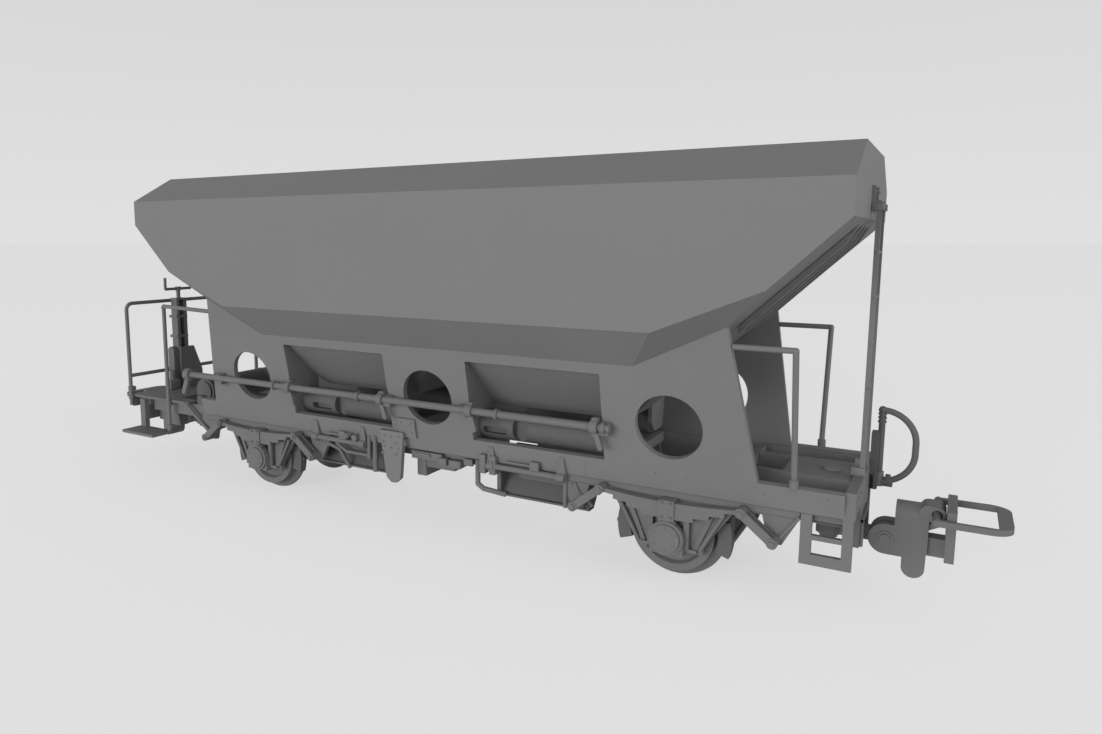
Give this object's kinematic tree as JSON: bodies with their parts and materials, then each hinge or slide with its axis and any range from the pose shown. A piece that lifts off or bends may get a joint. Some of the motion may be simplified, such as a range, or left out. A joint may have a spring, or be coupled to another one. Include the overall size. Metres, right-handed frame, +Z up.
{
  "type": "scale model open hopper wagon",
  "caption": "Small scale model of an open hopper wagon that empties to both sides, with turning wheels, an end platform and swinging loop couplers.",
  "frame": {"origin": "on the plane under the wheel flanges, midway between the tips of the two coupler loops, on the wagon's centre line", "axes": "+X along the wagon towards the end with the ladder, +Y across it, +Z up"},
  "size_m": [0.1244, 0.0298, 0.0435],
  "materials": {
    "body_plastic": "matt, unpainted, even grey",
    "frame_plastic": "matt, unpainted, even grey",
    "running_plastic": "matt, unpainted, even grey",
    "gear_plastic": "matt, unpainted, darker grey"
  },
  "bodies": {
    "wagon": {"hopper_side_near": "body_plastic", "hopper_side_far": "body_plastic", "hopper_end_front": "body_plastic", "hopper_end_rear": "body_plastic", "hopper_saddle": "body_plastic", "skirt_near": "body_plastic", "skirt_far": "body_plastic", "side_beam_near": "body_plastic", "side_beam_far": "body_plastic", "underframe": "frame_plastic", "headstock_front": "frame_plastic", "headstock_rear": "frame_plastic", "draft_plate_front": "frame_plastic", "draft_plate_rear": "frame_plastic", "drum_near": "gear_plastic", "drum_far": "gear_plastic", "chute_front_near": "gear_plastic", "chute_front_far": "gear_plastic", "chute_rear_near": "gear_plastic", "chute_rear_far": "gear_plastic", "axle_guard_front_near": "running_plastic", "axle_guard_front_far": "running_plastic", "axle_guard_rear_near": "running_plastic", "axle_guard_rear_far": "running_plastic", "axlebox_front_near": "running_plastic", "axlebox_front_far": "running_plastic", "axlebox_rear_near": "running_plastic", "axlebox_rear_far": "running_plastic", "spring_front_near": "running_plastic", "spring_front_far": "running_plastic", "spring_rear_near": "running_plastic", "spring_rear_far": "running_plastic", "brake_gear_front": "gear_plastic", "brake_gear_rear": "gear_plastic", "middle_bracket_near": "body_plastic", "middle_bracket_far": "body_plastic", "operating_shaft_near": "running_plastic", "operating_shaft_far": "running_plastic", "platform": "frame_plastic", "end_railing": "frame_plastic", "brake_column": "running_plastic", "brake_crank": "running_plastic", "handrail_front_near": "frame_plastic", "handrail_front_far": "frame_plastic", "handrail_rear_near": "frame_plastic", "handrail_rear_far": "frame_plastic", "end_ladder": "frame_plastic", "hose_front": "gear_plastic", "steps_front": "frame_plastic", "steps_rear": "frame_plastic"},
    "wheelset_front": {"axle_front": "running_plastic", "wheel_front_near": "running_plastic", "wheel_front_far": "running_plastic"},
    "wheelset_rear": {"axle_rear": "running_plastic", "wheel_rear_near": "running_plastic", "wheel_rear_far": "running_plastic"},
    "coupler_front_body": {"coupler_front": "running_plastic"},
    "coupler_rear_body": {"coupler_rear": "running_plastic"},
    "loop_front_body": {"loop_front": "running_plastic"},
    "loop_rear_body": {"loop_rear": "running_plastic"}
  },
  "joints": [
    {"name": "front_wheelset_spin", "type": "hinge", "parent": "wagon", "child": "wheelset_front", "pos_m": [0.03285, 0, 0.00518], "axis": [0, 1, 0], "continuous": true},
    {"name": "rear_wheelset_spin", "type": "hinge", "parent": "wagon", "child": "wheelset_rear", "pos_m": [-0.02495, 0, 0.00518], "axis": [0, 1, 0], "continuous": true},
    {"name": "front_coupler_swing", "type": "hinge", "parent": "wagon", "child": "coupler_front_body", "pos_m": [0.04675, 0, 0.0062], "axis": [0, 0, 1], "range_deg": [-12, 12]},
    {"name": "rear_coupler_swing", "type": "hinge", "parent": "wagon", "child": "coupler_rear_body", "pos_m": [-0.04675, 0, 0.0062], "axis": [0, 0, 1], "range_deg": [-12, 12]},
    {"name": "front_loop_lift", "type": "hinge", "parent": "coupler_front_body", "child": "loop_front_body", "pos_m": [0.05615, 0, 0.00935], "axis": [0, -1, 0], "range_deg": [0, 30]},
    {"name": "rear_loop_lift", "type": "hinge", "parent": "coupler_rear_body", "child": "loop_rear_body", "pos_m": [-0.05615, 0, 0.00935], "axis": [0, 1, 0], "range_deg": [0, 30]}
  ]
}
